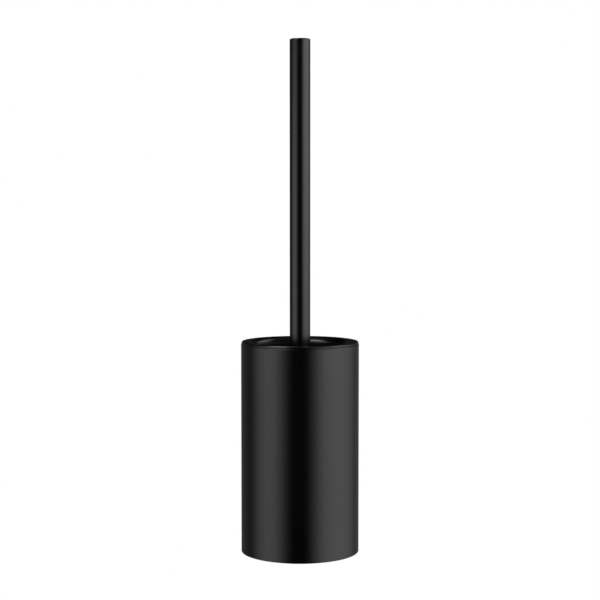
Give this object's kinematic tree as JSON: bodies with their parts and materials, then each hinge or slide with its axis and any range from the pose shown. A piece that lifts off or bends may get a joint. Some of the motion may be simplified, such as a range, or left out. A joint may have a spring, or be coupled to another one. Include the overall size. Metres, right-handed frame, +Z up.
{
  "type": "toilet brush holder",
  "caption": "Free-standing black cylinder holder with a lift-out liner and a long-handled toilet brush whose handle unscrews from its bristle head.",
  "frame": {"origin": "middle of the foot ring's underside, on the surface that the holder stands on", "axes": "+Z up along the axis of the holder and the handle; the object is round, so +X and -Y are free choices, with -Y as the front"},
  "size_m": [0.092, 0.092, 0.4],
  "materials": {
    "coated_steel": "black powder coat, semi-gloss",
    "liner_plastic": "black moulded polypropylene, glossy",
    "core_plastic": "black moulded polypropylene, satin",
    "bristle": "black polypropylene bristle",
    "plated_steel": "bright zinc plate",
    "seal_rubber": "black rubber, matt",
    "foot_rubber": "black rubber, matt"
  },
  "bodies": {
    "holder": {"holder_tube": "coated_steel", "base_plate": "coated_steel", "foot_ring": "foot_rubber"},
    "liner": {"liner": "liner_plastic"},
    "brush_head": {"brush_core": "core_plastic", "head_stud": "plated_steel", "bristle_crown": "bristle", "bristle_row_1": "bristle", "bristle_row_2": "bristle", "bristle_row_3": "bristle", "bristle_row_4": "bristle", "bristle_row_5": "bristle", "bristle_row_6": "bristle", "bristle_row_7": "bristle", "bristle_row_8": "bristle", "bristle_row_9": "bristle"},
    "seal": {"seal_ring": "seal_rubber"},
    "handle": {"handle_insert": "plated_steel", "handle_tube": "coated_steel", "handle_top_cap": "coated_steel"}
  },
  "joints": [
    {"name": "liner_lift", "type": "slide", "parent": "holder", "child": "liner", "axis": [0, 0, 1], "range_m": [0, 0.17]},
    {"name": "brush_lift", "type": "slide", "parent": "liner", "child": "brush_head", "axis": [0, 0, 1], "range_m": [0, 0.17]},
    {"name": "handle_rise", "type": "slide", "parent": "brush_head", "child": "seal", "axis": [0, 0, 1], "range_m": [0, 0.01]},
    {"name": "handle_turn", "type": "hinge", "parent": "seal", "child": "handle", "pos_m": [0, 0, 0.1], "axis": [0, 0, 1], "range_deg": [0, 2880]}
  ],
  "couplings": [
    {"joint": "handle_rise", "follows": "handle_turn", "m_per_rad": 0.00019894}
  ]
}
